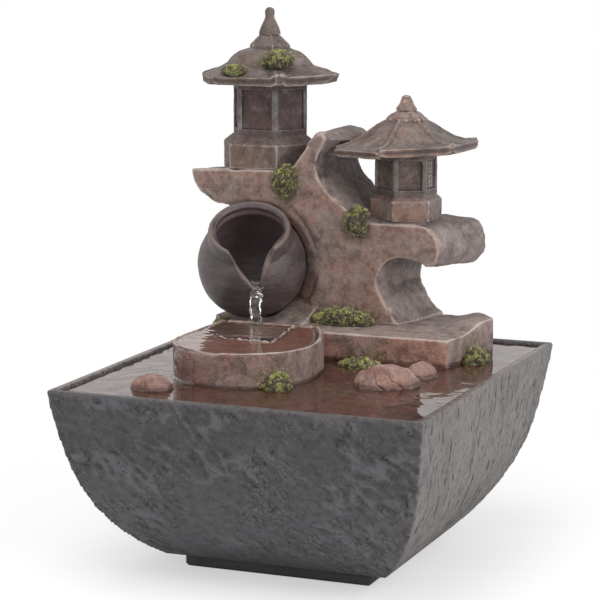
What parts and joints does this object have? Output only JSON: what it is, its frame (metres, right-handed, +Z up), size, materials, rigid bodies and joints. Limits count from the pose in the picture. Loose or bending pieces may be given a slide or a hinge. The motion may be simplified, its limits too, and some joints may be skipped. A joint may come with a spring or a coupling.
{
  "type": "indoor fountain",
  "caption": "Tabletop fountain: square flared bowl with a lift-off rock scene, two temple lanterns, a tipped pot pouring into a pool, and a small pump below.",
  "frame": {"origin": "on the floor under the middle of the bowl", "axes": "+X to the right along the bowl's front, +Y towards the back, +Z up; metres"},
  "size_m": [0.2, 0.2313, 0.2852],
  "materials": {
    "slate_resin": "slate-textured cast resin, satin",
    "plinth_resin": "dark cast resin, matte",
    "pad_rubber": "foam rubber, matte",
    "seal_rubber": "black rubber, matte",
    "deck_resin": "brown cast resin, wet",
    "pool_resin": "brown cast resin, wet",
    "rock_resin": "sandy cast resin with worn pale edges, matte",
    "lantern_resin": "sandy cast resin with worn pale edges, matte",
    "pebble_resin": "sandy cast resin, wet at the foot",
    "pot_clay": "dark fired clay look, satin",
    "moss": "flocked crumbs, matte",
    "hose_vinyl": "milky vinyl, satin",
    "pump_plastic": "black moulded plastic, satin",
    "motor_iron": "laminated core, matte",
    "potting_resin": "black potting resin, gloss",
    "shaft_ceramic": "white ceramic, polished",
    "magnet_ferrite": "grey ferrite, matte",
    "wheel_plastic": "light moulded plastic",
    "filter_foam": "open foam, matte",
    "dial_plastic": "blue moulded plastic"
  },
  "bodies": {
    "basin": {"basin": "slate_resin", "plinth": "plinth_resin", "base_pad": "pad_rubber", "cord_grommet": "seal_rubber", "suction_cups": "seal_rubber", "pump_housing": "pump_plastic", "motor_core": "motor_iron", "potting_cap": "potting_resin", "cable_gland": "seal_rubber", "impeller_shaft": "shaft_ceramic", "shaft_bush": "seal_rubber", "volute_plate": "pump_plastic"},
    "rotor": {"rotor_magnet": "magnet_ferrite", "impeller_wheel": "wheel_plastic"},
    "strainer": {"strainer_cover": "pump_plastic", "filter_sponge": "filter_foam"},
    "dial": {"flow_dial": "dial_plastic"},
    "scenery": {"deck_tray": "deck_resin", "step_slab": "rock_resin", "rock_wall": "rock_resin", "pot_cradle": "rock_resin", "pot": "pot_clay", "pot_grommet": "seal_rubber", "riser_tube": "hose_vinyl", "pool_dish": "pool_resin", "tall_base": "lantern_resin", "tall_body": "lantern_resin", "tall_roof": "lantern_resin", "tall_cap": "lantern_resin", "tall_finial": "lantern_resin", "small_base": "lantern_resin", "small_body": "lantern_resin", "small_roof": "lantern_resin", "small_cap": "lantern_resin", "small_finial": "lantern_resin", "rock_left": "pebble_resin", "rock_right": "pebble_resin", "rock_small": "pebble_resin", "moss_roof_left": "moss", "moss_roof_front": "moss", "moss_arm": "moss", "moss_notch": "moss", "moss_step": "moss", "moss_pool": "moss", "moss_step_front": "moss", "moss_step_side": "moss", "moss_pot": "moss"}
  },
  "joints": [
    {"name": "scenery_lift", "type": "slide", "parent": "basin", "child": "scenery", "axis": [0, 0, 1], "range_m": [0, 0.085]},
    {"name": "rotor_spin", "type": "hinge", "parent": "basin", "child": "rotor", "pos_m": [-0.032, 0.02, 0.031], "axis": [0, 1, 0], "continuous": true},
    {"name": "strainer_pull", "type": "slide", "parent": "basin", "child": "strainer", "axis": [0, 1, 0], "range_m": [0, 0.012]},
    {"name": "dial_turn", "type": "hinge", "parent": "strainer", "child": "dial", "pos_m": [-0.032, 0.042, 0.031], "axis": [0, 1, 0], "range_deg": [0, 90]}
  ]
}
